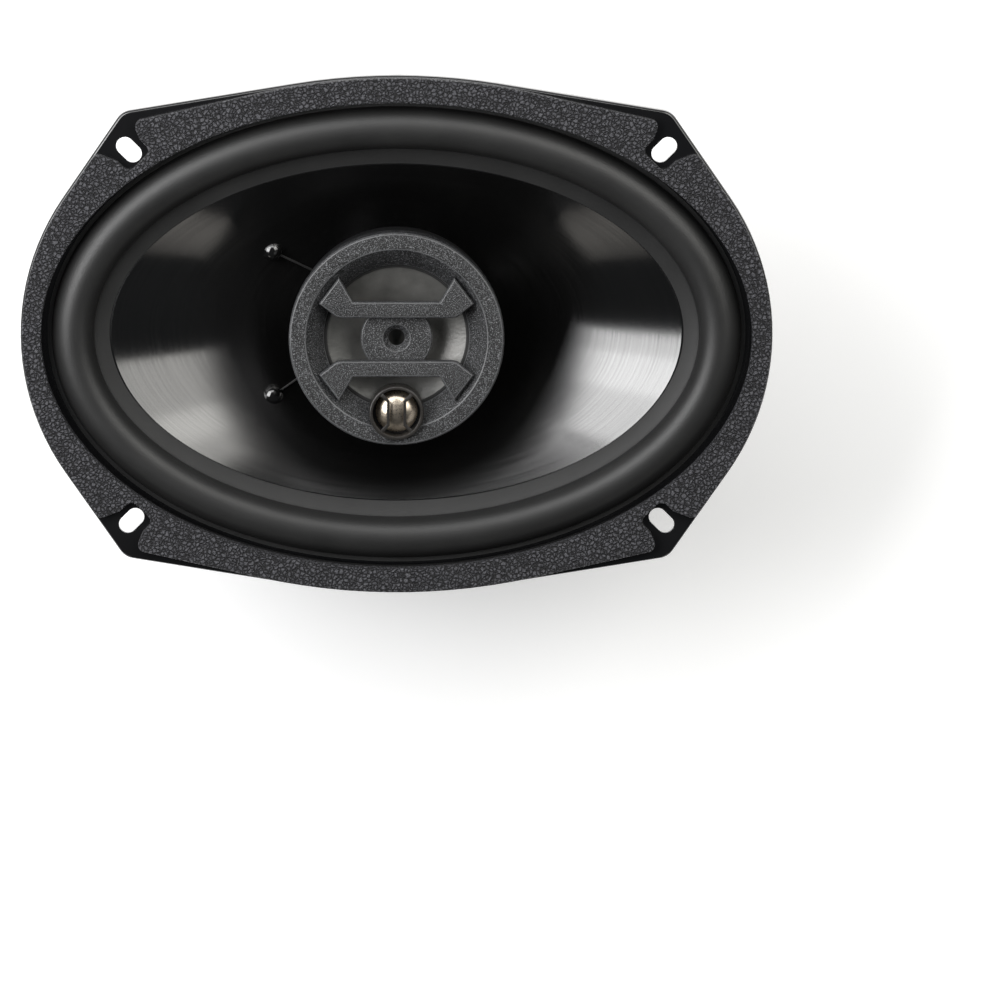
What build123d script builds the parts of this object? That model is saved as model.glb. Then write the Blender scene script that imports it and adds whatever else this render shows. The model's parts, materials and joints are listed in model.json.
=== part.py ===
from build123d import *
import math
import os

# Coaxial car loudspeaker, 6 by 9 inch, three way.
# Millimetres. +Z out of the front along the speaker's axis, +X along the long side, +Y along the
# short side. The origin is the centre of the plane where the flange meets the panel.

# --- Flange, gasket and basket -------------------------------------------------------------
SHEET = 1.2                     # basket sheet steel
FLANGE_TOP = 4.0                # flange face above the panel
END_ARC = (41.0, 0.0, 77.0)     # centre x, centre y, radius of the flange's end arcs
SIDE_ARC = (0.0, -115.7, 198.0)  # the same for the long top and bottom arcs
LUG_ARC = (82.2, 65.4, 6.0)     # the same for the corner lugs
FLANGE_EDGE_ROUND = 1.0
SLOT_AT = (83.5, 59.0)          # slot centres from the middle
SLOT_WIDTH = 5.6
SLOT_TRAVEL = 3.4               # centre to centre
SLOT_ANGLE = 45.0
WELL = (111.4, 73.9)            # inner semi-axes of the well behind the flange
LEDGE_INNER = (105.0, 67.5)
LEDGE_TOP = -2.0
SHELF_R = 54.0                  # spider shelf
SHELF_TOP = -38.0
NECK_R = 45.0
NECK_BOTTOM = -51.2
NECK_HOLE_R = 24.0
WINDOW_COUNT = 12
WINDOW_WIDTH = 20.0
WINDOW_Z = (-35.0, -9.0)
WINDOW_ROUND = 4.0
GASKET_TOP = 6.8
GASKET_INSET = 0.6
GASKET_EDGE_ROUND = 0.5
GASKET_LUG_ARC = (84.5, 62.1, 6.0)
NOTCH_INNER = 5.0               # notch end, inwards of the slot centre
NOTCH_WIDTH = 9.8
NOTCH_FLARE = 22.0              # notch width at the rim
NOTCH_REACH = 14.0
NOTCH_ROUND = 2.4

# --- Motor ---------------------------------------------------------------------------------
TOP_PLATE_R = 42.0
TOP_PLATE_BOTTOM = -56.2
GAP_OUTER_R = 20.3
MAGNET_R = 47.0
MAGNET_HOLE_R = 24.0
MAGNET_BOTTOM = -73.2
YOKE_R = 44.0
YOKE_BOTTOM = -80.0
POLE_R = 18.5
POLE_TOP = -51.0
EDGE_BREAK = 1.0
RIVET_COUNT = 6
RIVET_CIRCLE_R = 34.0
RIVET_R = 1.8
RIVET_HEAD_R = 3.0
RIVET_HEAD = 1.4
RIVET_CLEARANCE = 0.05
WIRE_HOLE_X = -7.5
WIRE_HOLE_R = 2.2
WIRE_GROOVE = (4.4, 3.0)        # width, depth

# --- Cone, surround, spider and coil -------------------------------------------------------
CONE_EDGE = (89.6, 53.5)
CONE_EDGE_WALL = (2.2, 1.2)     # wall thickness seen from the front, along X and along Y
CONE_RING = (94.8, 58.2)
CONE_TOP = -2.0
CONE_RING_BOTTOM = -3.0
CONE_NECK_R = 20.0
CONE_NECK_TOP = -34.0
CONE_NECK_BOTTOM = -35.2
SURROUND_PATH = (101.6, 65.2)
SURROUND_SKIN = 0.8
ROLL_R = 6.6
SURROUND_INNER = -11.35         # inner and outer edges from the roll's centre line
SURROUND_OUTER = 8.1
FORMER_R = (19.0, 19.4)
FORMER_Z = (-61.0, -33.0)
COIL_R = 19.9
GLUE_GAP = 0.05
COIL_Z = (-60.0, -47.4)
SPIDER_R = (19.45, 50.0)
SPIDER_FLAT_R = 46.4
SPIDER_SKIN = 0.5
SPIDER_WAVES = 5
SPIDER_WAVE_HEIGHT = 1.0
BEAD_AT = (-39.4, 23.3)
BEAD_R = 3.5
BEAD_SINK = 1.4                 # the bead's centre below the cone's face
COIL_WIRE_R = 0.35
COIL_WIRE_RADII = (21.5, 26.0, 33.0)   # where the wire is tacked to the cone, from the neck out
COIL_WIRE_LIFT = 0.62           # wire centre above the cone
COIL_WIRE_IN_BEAD = 2.6         # how far short of the bead's centre the wire ends
COIL_WIRE_BEND = 6.0
SPIDER_LAND = 1.0               # flat collar round the former

# --- Pod on its post -----------------------------------------------------------------------
POST_R = (10.5, 12.5)
POD_FLOOR = -17.0
POD_FLOOR_R = 17.0
POD_WALL = 2.0
POD_WAIST = (32.6, -9.5)
POD_SHOULDER = 1.5              # extra wall below the midrange's seat
SEAT_CLEARANCE = 0.2
POD_SEAT = 1.0                  # depth of the seat under the midrange's flange
POD_RIM_R = 33.3
POD_RIM = 4.0
BEZEL_R = 33.7
BEZEL_TOP = 10.5
BEZEL_EDGE = 0.5
BEZEL_FACE_R = 28.5             # inner edge of the flat face, where the funnel starts
THROAT_R = 22.8
THROAT_TOP = 5.0
BAR_Z = (8.0, 11.0)
BAR_OUTLINE = [(13.6, 11.9), (18.0, 19.5), (24.2, 11.3), (19.0, 7.2), (17.0, 6.8)]
BAR_WING = [(17.0, 6.8), (13.6, 11.9), (18.0, 19.5), (24.2, 11.3), (19.0, 7.2)]
BAR_EDGE = 0.4
HUB_R = 11.2
HUB_Z = (5.6, 8.0)
HUB_SINK_R = 4.3
HUB_HOLE_R = 2.6
BOLT_R = 2.0
BOLT_HOLE_R = 2.1
BOLT_HEAD_R = 4.0
BOLT_HEAD = 2.8
BOLT_SOCKET_R = 2.0
BOLT_RECESS = (4.5, 3.4)        # radius, depth of the pocket in the yoke
NUT_R = 4.2
NUT = 2.6

# --- Midrange ------------------------------------------------------------------------------
MID_FLANGE_R = 31.0
MID_FLANGE_TOP = 3.6
MID_CONE = [(22.3, 3.6), (8.75, -2.0)]
MID_CONE_WALL = 0.45
MID_FORMER_R = (8.35, 8.5)
MID_COIL_R = 8.8
MID_YOKE_R = (9.3, 10.5)
MID_YOKE_Z = (-11.5, -4.2)
MID_MAGNET_R = 7.5
MID_PLATE_R = 7.9
MID_SHEET = 1.0                 # midrange flange and yoke floor
MID_YOKE_FLOOR = 1.5
MID_MAGNET = 4.0
MID_PLATE = 2.0
MID_DISH_R = (24.6, 24.0)       # foot of the flange, behind and in front
MID_SEAT = (2.5, 1.8, 0.9)      # seat overhang behind and in front, and its thickness
MID_EDGE_R = 25.2               # outer radius of the thin edge
MID_EDGE_LAP = 0.5
MID_EDGE = 0.3
CAP_RISE = 2.2
CAP_WALL = 0.3
MID_FORMER_BOTTOM = -7.2
MID_COIL_TOP = -4.4

# --- Super tweeter -------------------------------------------------------------------------
TWEETER_Y = -23.1
TWEETER_R = 8.6
TWEETER_Z = (6.0, 12.6)
TWEETER_WELL_R = 7.5
TWEETER_DOME_R = 5.5
TWEETER_DOME_RISE = 2.6
TWEETER_BAR_X = 2.6
TWEETER_BAR = 0.9
TWEETER_BAR_DEPTH = 1.0
TWEETER_BAR_ENDS = (3.9, (4.6, 6.6), (5.6, 6.0), 3.5)   # where the bars start to spread, and their corners
TWEETER_FLOOR = 0.8
TWEETER_RIM_EDGE = 0.35
TWEETER_MAGNET = (4.2, 1.2)     # radius, height
TWEETER_DOME_BASE = 2.4         # above the housing's bottom
TWEETER_DOME_SKIN = 0.3
TWEETER_DOME_RING = (5.2, 6.7, 0.25)
FIT = 0.02

# --- Terminals and wiring ------------------------------------------------------------------
TAB_X = -52.8                   # inner face of the tab that carries the terminal board
BOARD_SIZE = (1.6, 40.0, 15.0)
BOARD_TOP = -39.4
BOARD_ROUND = 1.5
TAB_MARGIN = (2.0, 3.0)         # the board stands past the tab at its sides and its foot
BLADE_THICKNESS = 0.8
BLADE_BEVEL = 1.2
BLADE_HOLE = (0.9, 4.0)         # radius, height above the tip
BLADE_Y = 13.5
BLADE_Z = (-66.0, -41.0)
POSITIVE_WIDTH = 6.3
NEGATIVE_WIDTH = 4.8
TERMINAL_RIVET_Z = -49.0
TERMINAL_RIVET_R = 1.4
TERMINAL_RIVET_HEAD = (2.2, 0.8)   # radius, height
CAPACITOR = (4.0, 16.0)         # radius, length
CAPACITOR_Z = -45.5
CAPACITOR_ROUND = 0.8
CAPACITOR_GAP = 0.2
LEG_R = 0.35
LEG_BEND = 1.2
LEG_INSET = 2.0                 # from the blade's centre line
LEAD_R = 0.6
LEAD_SIDE = 7.5                 # lead's distance from the middle at the board
LEAD_RUN = [(-63.0, 7.5, -35.0), (-60.5, 9.5, -28.0), (-50.0, 16.0, -25.5)]
LEAD_START_Z = -41.0
LEAD_APPROACH = (2.0, 1.0, 4.6)  # last bend: out, in and below the cone's face at the bead
LEAD_END_DEPTH = 2.0
LEAD_BENDS = [4.0, 3.5, 4.0, 1.4]
POD_WIRE_R = 0.8
POD_WIRE_Y = 1.0
POD_WIRE_GAP = 0.1
POD_WIRE_TOP = 6.0              # below the pod's floor
POD_WIRE_IN_GROOVE = 1.6
POD_WIRE_RISE = (-59.5, -57.5)  # heights of its last two bends
POD_WIRE_BENDS = [2.5, 2.5, 4.0]

CORNERS = [(sx, sy) for sx in (1, -1) for sy in (1, -1)]


def turned(points):
    """A solid turned about the speaker's axis from a closed (radius, height) outline."""
    return revolve(Plane.XZ * make_face(Polyline(*points, close=True)), Axis.Z)


def ring(inner, outer, bottom, top):
    """A flat round ring."""
    return Pos(0, 0, bottom) * extrude(Circle(outer) - Circle(inner), top - bottom)


def oval_ring(inner, outer, bottom, top):
    """A flat ring between two ellipses, each given by its semi-axes."""
    return Pos(0, 0, bottom) * extrude(Ellipse(*outer) - Ellipse(*inner), top - bottom)


def funnel(top_axes, top, bottom_axes, bottom):
    """A solid with straight sides from one ellipse to another."""
    return loft([Pos(0, 0, bottom) * Ellipse(*bottom_axes), Pos(0, 0, top) * Ellipse(*top_axes)], ruled=True)


def tangent_angle(first, second, side):
    """Direction, in degrees, from each centre to where one straight line touches both circles."""
    dx = second[0] - first[0]
    dy = second[1] - first[1]
    lean = math.acos((first[2] - second[2]) / math.hypot(dx, dy))
    return math.degrees(math.atan2(dy, dx) + side * lean)


def on_circle(circle, angle):
    """The point of a circle (x, y, radius) in a direction given in degrees."""
    turn = math.radians(angle)
    return (circle[0] + circle[2] * math.cos(turn), circle[1] + circle[2] * math.sin(turn))


def arc_of(circle, start, end):
    """The arc of a circle between two directions, running anticlockwise."""
    middle = (start + end) / 2
    return ThreePointArc(on_circle(circle, start), on_circle(circle, middle), on_circle(circle, end))


def flange_outline(lug, inset):
    """The closed outline: end arcs, long arcs and corner lugs joined by tangent lines."""
    end = (END_ARC[0], END_ARC[1], END_ARC[2] - inset)
    side = (SIDE_ARC[0], SIDE_ARC[1], SIDE_ARC[2] - inset)
    corner = (lug[0], lug[1], lug[2] - inset)
    low = tangent_angle(end, corner, -1)
    high = tangent_angle(corner, side, -1) % 360
    quarter = [
        arc_of(end, 0, low),
        Line(on_circle(end, low), on_circle(corner, low)),
        arc_of(corner, low, high),
        Line(on_circle(corner, high), on_circle(side, high)),
        arc_of(side, high, 90),
    ]
    upper = quarter + [edge.mirror(Plane.YZ) for edge in quarter]
    return make_face(upper + [edge.mirror(Plane.XZ) for edge in upper])


def cone_height(x, y):
    """Height of the woofer cone's front face above a point, found by halving."""
    low, high = 0.0, 1.0
    for _ in range(40):
        share = (low + high) / 2
        along = CONE_NECK_R + share * (CONE_EDGE[0] - CONE_NECK_R)
        across = CONE_NECK_R + share * (CONE_EDGE[1] - CONE_NECK_R)
        if (x / along) ** 2 + (y / across) ** 2 > 1:
            low = share
        else:
            high = share
    return CONE_NECK_TOP + high * (CONE_TOP - CONE_NECK_TOP)


def wire(points, bends, radius):
    """A round wire along straight runs joined by arcs."""
    path = FilletPolyline(*points, radius=bends) if bends else Polyline(*points)
    section = Plane(origin=path @ 0, z_dir=path % 0) * Circle(radius)
    return sweep(section, path)


# --- Root body: basket and motor -----------------------------------------------------------
def make_basket():
    flange = extrude(flange_outline(LUG_ARC, 0), FLANGE_TOP)
    flange = fillet(flange.faces().sort_by(Axis.Z)[-1].edges(), FLANGE_EDGE_ROUND)
    flange -= extrude(flange_outline(LUG_ARC, SHEET), FLANGE_TOP - SHEET)
    flange -= extrude(Ellipse(*WELL), FLANGE_TOP)
    well_outer = (WELL[0] + SHEET, WELL[1] + SHEET)
    well = oval_ring(WELL, well_outer, LEDGE_TOP - SHEET, FLANGE_TOP - SHEET)
    ledge = oval_ring(LEDGE_INNER, well_outer, LEDGE_TOP - SHEET, LEDGE_TOP)
    outer_top = (LEDGE_INNER[0] + SHEET, LEDGE_INNER[1] + SHEET)
    outer_shelf = (SHELF_R + SHEET, SHELF_R + SHEET)
    bowl = funnel(outer_top, LEDGE_TOP, outer_shelf, SHELF_TOP - SHEET)
    bowl -= funnel(LEDGE_INNER, LEDGE_TOP, (SHELF_R, SHELF_R), SHELF_TOP)
    window_height = WINDOW_Z[1] - WINDOW_Z[0]
    cutter = Box(80, WINDOW_WIDTH, window_height)
    cutter = fillet(cutter.edges().filter_by(Axis.X), WINDOW_ROUND)
    for i in range(WINDOW_COUNT):
        turn = Rot(0, 0, 360 * i / WINDOW_COUNT)
        bowl -= turn * Pos(80, 0, sum(WINDOW_Z) / 2) * cutter
    bowl -= Pos(0, 0, SHELF_TOP) * Cylinder(NECK_R - SHEET, 4 * SHEET)
    neck = ring(NECK_R - SHEET, NECK_R, NECK_BOTTOM, SHELF_TOP - SHEET)
    base = ring(NECK_HOLE_R, NECK_R - SHEET, NECK_BOTTOM, NECK_BOTTOM + SHEET)
    tab_height = SHELF_TOP - BOARD_TOP + BOARD_SIZE[2] - TAB_MARGIN[1]
    tab = Pos(TAB_X - SHEET / 2, 0, SHELF_TOP - tab_height / 2)
    tab *= Box(SHEET, BOARD_SIZE[1] - 2 * TAB_MARGIN[0], tab_height)
    basket = flange + well + ledge + bowl + neck + base + tab
    for sx, sy in CORNERS:
        slot = SlotCenterToCenter(SLOT_TRAVEL, SLOT_WIDTH, rotation=sx * sy * SLOT_ANGLE)
        basket -= Pos(sx * SLOT_AT[0], sy * SLOT_AT[1], 0) * extrude(slot, FLANGE_TOP)
    return basket - chassis_rivet_shanks(RIVET_CLEARANCE) - terminal_rivet_shanks(RIVET_CLEARANCE)


def make_gasket():
    gasket = extrude(flange_outline(GASKET_LUG_ARC, GASKET_INSET), GASKET_TOP - FLANGE_TOP)
    gasket -= extrude(Ellipse(*WELL), GASKET_TOP)
    half = NOTCH_WIDTH / 2
    flare = NOTCH_FLARE / 2
    sides = [(-NOTCH_INNER, half), (0, half), (NOTCH_REACH, flare)]
    mirrored = [(u, -v) for u, v in reversed(sides)]
    notch = extrude(make_face(Polyline(*sides, *mirrored, close=True)), GASKET_TOP)
    corners = []
    for sx, sy in CORNERS:
        angle = math.degrees(math.atan2(sy, sx))
        gasket -= Pos(sx * SLOT_AT[0], sy * SLOT_AT[1], 0) * Rot(0, 0, angle) * notch
    for edge in gasket.edges().filter_by(Axis.Z):
        middle = edge.center()
        reach = math.hypot(abs(middle.X) - SLOT_AT[0], abs(middle.Y) - SLOT_AT[1])
        if NOTCH_WIDTH / 2 + 1 < reach < NOTCH_REACH:
            corners.append(edge)
    gasket = fillet(corners, NOTCH_ROUND)
    gasket = fillet(gasket.faces().sort_by(Axis.Z)[-1].edges(), GASKET_EDGE_ROUND)
    return Pos(0, 0, FLANGE_TOP) * gasket


def rivet_places():
    return [Rot(0, 0, 360 * (i + 0.5) / RIVET_COUNT) * Pos(RIVET_CIRCLE_R, 0, 0) for i in range(RIVET_COUNT)]


def chassis_rivet_shanks(clearance=0.0):
    shank = extrude(Circle(RIVET_R + clearance), NECK_BOTTOM + SHEET - TOP_PLATE_BOTTOM)
    return [place * Pos(0, 0, TOP_PLATE_BOTTOM) * shank for place in rivet_places()]


def make_chassis_rivets():
    head = Pos(0, 0, NECK_BOTTOM + SHEET) * extrude(Circle(RIVET_HEAD_R), RIVET_HEAD)
    head = fillet(head.faces().sort_by(Axis.Z)[-1].edges(), RIVET_HEAD / 2)
    heads = [place * head for place in rivet_places()]
    return Compound(children=[shank + head for shank, head in zip(chassis_rivet_shanks(), heads)])


def make_top_plate():
    plate = ring(GAP_OUTER_R, TOP_PLATE_R, TOP_PLATE_BOTTOM, NECK_BOTTOM)
    return plate - chassis_rivet_shanks(RIVET_CLEARANCE)


def make_magnet():
    magnet = ring(MAGNET_HOLE_R, MAGNET_R, MAGNET_BOTTOM, TOP_PLATE_BOTTOM)
    rims = magnet.edges().filter_by(GeomType.CIRCLE).sort_by(SortBy.RADIUS)[-2:]
    return chamfer(rims, EDGE_BREAK)


def make_t_yoke():
    plate = ring(BOLT_HOLE_R, YOKE_R, YOKE_BOTTOM, MAGNET_BOTTOM)
    rims = plate.edges().filter_by(GeomType.CIRCLE).sort_by(SortBy.RADIUS)[-2:]
    plate = chamfer(rims, EDGE_BREAK)
    yoke = plate + ring(BOLT_HOLE_R, POLE_R, MAGNET_BOTTOM, POLE_TOP)
    yoke -= Pos(0, 0, YOKE_BOTTOM) * extrude(Circle(BOLT_RECESS[0]), BOLT_RECESS[1])
    yoke -= Pos(WIRE_HOLE_X, 0, YOKE_BOTTOM) * extrude(Circle(WIRE_HOLE_R), POLE_TOP - YOKE_BOTTOM)
    width, depth = WIRE_GROOVE
    length = YOKE_R + WIRE_HOLE_X + 1
    groove = Pos(WIRE_HOLE_X - length / 2, 0, YOKE_BOTTOM + depth / 2) * Box(length, width, depth)
    return yoke - groove


# --- Root body: terminals and wiring -------------------------------------------------------
def board_front():
    return TAB_X - SHEET - BOARD_SIZE[0]


def terminal_rivet_shanks(clearance=0.0):
    """The shanks of the terminal rivets, from each blade's face through to the back of the tab."""
    start = board_front() - BLADE_THICKNESS
    length = TAB_X - start
    shank = Rot(0, 90, 0) * Cylinder(TERMINAL_RIVET_R + clearance, length)
    return [Pos(start + length / 2, side * BLADE_Y, TERMINAL_RIVET_Z) * shank for side in (1, -1)]


def make_terminal_rivets():
    radius, height = TERMINAL_RIVET_HEAD
    head = Rot(0, 90, 0) * Cylinder(radius, height)
    rivets = []
    for side, shank in zip((1, -1), terminal_rivet_shanks()):
        for x in (board_front() - BLADE_THICKNESS - height / 2, TAB_X + height / 2):
            shank += Pos(x, side * BLADE_Y, TERMINAL_RIVET_Z) * head
        rivets.append(shank)
    return Compound(children=rivets)


def make_terminal_board():
    thick, width, height = BOARD_SIZE
    board = Box(thick, width, height)
    board = fillet(board.edges().filter_by(Axis.X), BOARD_ROUND)
    board = Pos(board_front() + thick / 2, 0, BOARD_TOP - height / 2) * board
    return board - terminal_rivet_shanks(RIVET_CLEARANCE)


def make_blade(y, width):
    """A push-on spade terminal with a bevelled tip and its locking hole."""
    low, high = BLADE_Z
    shank = Rectangle(width, high - low)
    tip = shank.vertices().sort_by(Axis.Y)[:2]
    hole_r, hole_rise = BLADE_HOLE
    outline = chamfer(tip, BLADE_BEVEL) - Pos(0, (low - high) / 2 + hole_rise) * Circle(hole_r)
    blade = extrude(outline, BLADE_THICKNESS)
    place = Plane(origin=(board_front(), y, (low + high) / 2), x_dir=(0, -1, 0), z_dir=(-1, 0, 0))
    return place * blade - terminal_rivet_shanks(RIVET_CLEARANCE)


def make_crossover_capacitor():
    """A small can with a rolled edge and one wire leg to each blade."""
    radius, length = CAPACITOR
    x = board_front() - radius - CAPACITOR_GAP
    can = fillet(Cylinder(radius, length).edges(), CAPACITOR_ROUND)
    can = Pos(x, 0, CAPACITOR_Z) * Rot(90, 0, 0) * can
    bend = BLADE_Y - LEG_INSET
    for side in (1, -1):
        route = [
            (x, side * length / 2, CAPACITOR_Z),
            (x, side * bend, CAPACITOR_Z),
            (board_front() - BLADE_THICKNESS, side * bend, CAPACITOR_Z),
        ]
        can += wire(route, LEG_BEND, LEG_R)
    return can


def make_tinsel_leads():
    """Two braided leads from the terminal board up through a window to the back of the cone."""
    x, y = BEAD_AT
    out, inward, below = LEAD_APPROACH
    near = (x - out, y - inward)
    route = [
        (board_front() - LEAD_R - BLADE_THICKNESS, LEAD_SIDE, LEAD_START_Z),
        *LEAD_RUN,
        (*near, cone_height(*near) - below),
        (x, y, cone_height(x, y) - LEAD_END_DEPTH),
    ]
    lead = wire(route, LEAD_BENDS, LEAD_R)
    return Compound(children=[lead, mirror(lead, Plane.XZ)])


def make_pod_wires():
    """Two wires from the midrange down the post, along the yoke's groove and up to the blades."""
    y = POD_WIRE_Y
    low = YOKE_BOTTOM + POD_WIRE_IN_GROOVE
    outside = -MAGNET_R - 2 * POD_WIRE_R
    bend, end = POD_WIRE_RISE
    route = [
        (WIRE_HOLE_X, y, POD_FLOOR - POD_WIRE_TOP),
        (WIRE_HOLE_X, y, low),
        (outside, y, low),
        (outside, y, bend),
        (board_front() + POD_WIRE_R + POD_WIRE_GAP, BLADE_Y - LEG_INSET, end),
    ]
    lead = wire(route, POD_WIRE_BENDS, POD_WIRE_R)
    return Compound(children=[lead, mirror(lead, Plane.XZ)])


# --- Root body: pod ------------------------------------------------------------------------
def make_pod_post():
    return ring(POST_R[0], POST_R[1], POLE_TOP, POD_FLOOR)


def make_pod_housing():
    waist_r, waist = POD_WAIST
    outer = [(0, POD_FLOOR), (POD_FLOOR_R, POD_FLOOR), (waist_r, waist), (POD_RIM_R, POD_RIM), (0, POD_RIM)]
    inner = [
        (0, POD_FLOOR + POD_WALL),
        (POD_FLOOR_R - POD_WALL / 2, POD_FLOOR + POD_WALL),
        (waist_r - POD_WALL - POD_SHOULDER, waist),
        (waist_r - POD_WALL - POD_SHOULDER, MID_FLANGE_TOP - POD_SEAT),
        (MID_FLANGE_R + SEAT_CLEARANCE, MID_FLANGE_TOP - POD_SEAT),
        (MID_FLANGE_R + SEAT_CLEARANCE, POD_RIM),
        (0, POD_RIM),
    ]
    housing = turned(outer) - turned(inner)
    housing -= Pos(0, 0, POD_FLOOR) * Cylinder(BOLT_HOLE_R, 4 * POD_WALL)
    return housing - Pos(WIRE_HOLE_X, 0, POD_FLOOR) * Cylinder(WIRE_HOLE_R, 4 * POD_WALL)


def make_pod_bezel():
    """The pod's front ring, whose funnel leads down to the midrange, cut out for the super tweeter."""
    bezel = turned(
        [
            (BEZEL_R, POD_RIM),
            (BEZEL_R, BEZEL_TOP - BEZEL_EDGE),
            (BEZEL_R - BEZEL_EDGE, BEZEL_TOP),
            (BEZEL_FACE_R, BEZEL_TOP),
            (THROAT_R, THROAT_TOP),
            (THROAT_R, POD_RIM),
        ]
    )
    depth = BEZEL_TOP - TWEETER_Z[0]
    return bezel - Pos(0, TWEETER_Y, TWEETER_Z[0]) * extrude(Circle(TWEETER_R), depth)


def make_bridge_bar(side):
    """A bar across the pod whose winged ends stand in the funnel."""
    half = BAR_OUTLINE + [(-x, y) for x, y in reversed(BAR_OUTLINE)]
    bar = extrude(make_face(Polyline(*half, close=True)), BAR_Z[1] - BAR_Z[0])
    bar = chamfer(bar.faces().sort_by(Axis.Z)[-1].edges(), BAR_EDGE)
    bar = Pos(0, 0, BAR_Z[0]) * bar
    wing = make_face(Polyline(*BAR_WING, close=True))
    leg = Pos(0, 0, THROAT_TOP) * extrude(wing, BAR_Z[0] - THROAT_TOP)
    reach = ring(THROAT_R, BEZEL_FACE_R, THROAT_TOP, BAR_Z[0])
    bar += leg & reach
    bar += mirror(leg, Plane.YZ) & reach
    bar -= make_pod_bezel()
    return bar if side > 0 else mirror(bar, Plane.XZ)


def make_pod_hub():
    hub = ring(HUB_HOLE_R, HUB_R, *HUB_Z)
    hub = chamfer(hub.faces().sort_by(Axis.Z)[-1].edges().sort_by(SortBy.RADIUS)[-1], BAR_EDGE)
    sink = HUB_SINK_R - HUB_HOLE_R
    cone = Pos(0, 0, HUB_Z[1] - sink / 2) * Cone(HUB_HOLE_R, HUB_SINK_R, sink)
    return hub - cone


def make_pod_bolt():
    """The long screw that ties the pod, the post and the yoke together."""
    head_top = YOKE_BOTTOM + BOLT_RECESS[1]
    tip = POD_FLOOR + POD_WALL + NUT
    bolt = Pos(0, 0, head_top) * extrude(Circle(BOLT_R), tip - head_top)
    head = Pos(0, 0, head_top - BOLT_HEAD) * extrude(Circle(BOLT_HEAD_R), BOLT_HEAD)
    head -= Pos(0, 0, head_top - BOLT_HEAD) * extrude(RegularPolygon(BOLT_SOCKET_R, 6), BOLT_HEAD / 2)
    return bolt + head


def make_pod_nut():
    nut = extrude(RegularPolygon(NUT_R, 6) - Circle(BOLT_HOLE_R), NUT)
    return Pos(0, 0, POD_FLOOR + POD_WALL) * nut


# --- Root body: midrange motor -------------------------------------------------------------
def make_midrange_frame():
    """A pressed dish: a flange under the bezel, a sloping wall and a seat on the yoke."""
    wall, seat_r = MID_YOKE_R
    top = MID_YOKE_Z[1]
    behind, in_front, thick = MID_SEAT
    hole_r = wall + MID_CONE_WALL
    return turned(
        [
            (hole_r, top),
            (seat_r + behind, top),
            (MID_DISH_R[0], MID_FLANGE_TOP - MID_SHEET),
            (MID_FLANGE_R, MID_FLANGE_TOP - MID_SHEET),
            (MID_FLANGE_R, MID_FLANGE_TOP),
            (MID_DISH_R[1], MID_FLANGE_TOP),
            (seat_r + in_front, top + thick),
            (hole_r, top + thick),
        ]
    )


def make_midrange_yoke():
    wall, outer = MID_YOKE_R
    low, high = MID_YOKE_Z
    floor = low + MID_YOKE_FLOOR
    return turned([(0, low), (outer, low), (outer, high), (wall, high), (wall, floor), (0, floor)])


def make_midrange_magnet():
    return Pos(0, 0, MID_YOKE_Z[0] + MID_YOKE_FLOOR) * extrude(Circle(MID_MAGNET_R), MID_MAGNET)


def make_midrange_pole_plate():
    bottom = MID_YOKE_Z[0] + MID_YOKE_FLOOR + MID_MAGNET
    return Pos(0, 0, bottom) * extrude(Circle(MID_PLATE_R), MID_PLATE)


# --- Root body: super tweeter --------------------------------------------------------------
def make_super_tweeter_housing():
    low, high = TWEETER_Z
    floor = low + TWEETER_FLOOR
    cup = turned(
        [
            (0, low),
            (TWEETER_R, low),
            (TWEETER_R, high - TWEETER_RIM_EDGE),
            (TWEETER_R - TWEETER_RIM_EDGE, high),
            (TWEETER_WELL_R, high),
            (TWEETER_WELL_R, floor),
            (0, floor),
        ]
    )
    return Pos(0, TWEETER_Y, 0) * cup


def make_super_tweeter_magnet():
    radius, height = TWEETER_MAGNET
    return Pos(0, TWEETER_Y, TWEETER_Z[0] + TWEETER_FLOOR) * extrude(Circle(radius), height)


def make_super_tweeter_guard():
    """Two upright bars whose ends spread to the rim, like a pair of outward brackets."""
    left = TWEETER_BAR_X - TWEETER_BAR / 2
    right = TWEETER_BAR_X + TWEETER_BAR / 2
    inner_spread, inner_end, outer_end, outer_spread = TWEETER_BAR_ENDS
    outline = [(left, 0), (left, inner_spread), inner_end, outer_end, (right, outer_spread), (right, 0)]
    strip = make_face(Polyline(*outline, close=True))
    quarter = extrude(strip, TWEETER_BAR_DEPTH) & Cylinder(TWEETER_WELL_R - FIT, 4 * TWEETER_BAR_DEPTH)
    pair = quarter + mirror(quarter, Plane.XZ)
    bars = Compound(children=[pair, mirror(pair, Plane.YZ)])
    return Pos(0, TWEETER_Y, TWEETER_Z[1] - TWEETER_BAR_DEPTH) * bars


# --- Woofer body ---------------------------------------------------------------------------
def make_woofer_cone():
    wall_x, wall_y = CONE_EDGE_WALL
    back_edge = (CONE_EDGE[0] + wall_x, CONE_EDGE[1] + wall_y)
    neck = (CONE_NECK_R, CONE_NECK_R)
    cone = funnel(back_edge, CONE_TOP, neck, CONE_NECK_BOTTOM)
    cone += oval_ring(CONE_EDGE, CONE_RING, CONE_RING_BOTTOM, CONE_TOP)
    cone -= funnel(CONE_EDGE, CONE_TOP, neck, CONE_NECK_TOP)
    return cone - Pos(0, 0, CONE_NECK_BOTTOM) * Cylinder(FORMER_R[1] + GLUE_GAP, 6 * SHEET)


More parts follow.
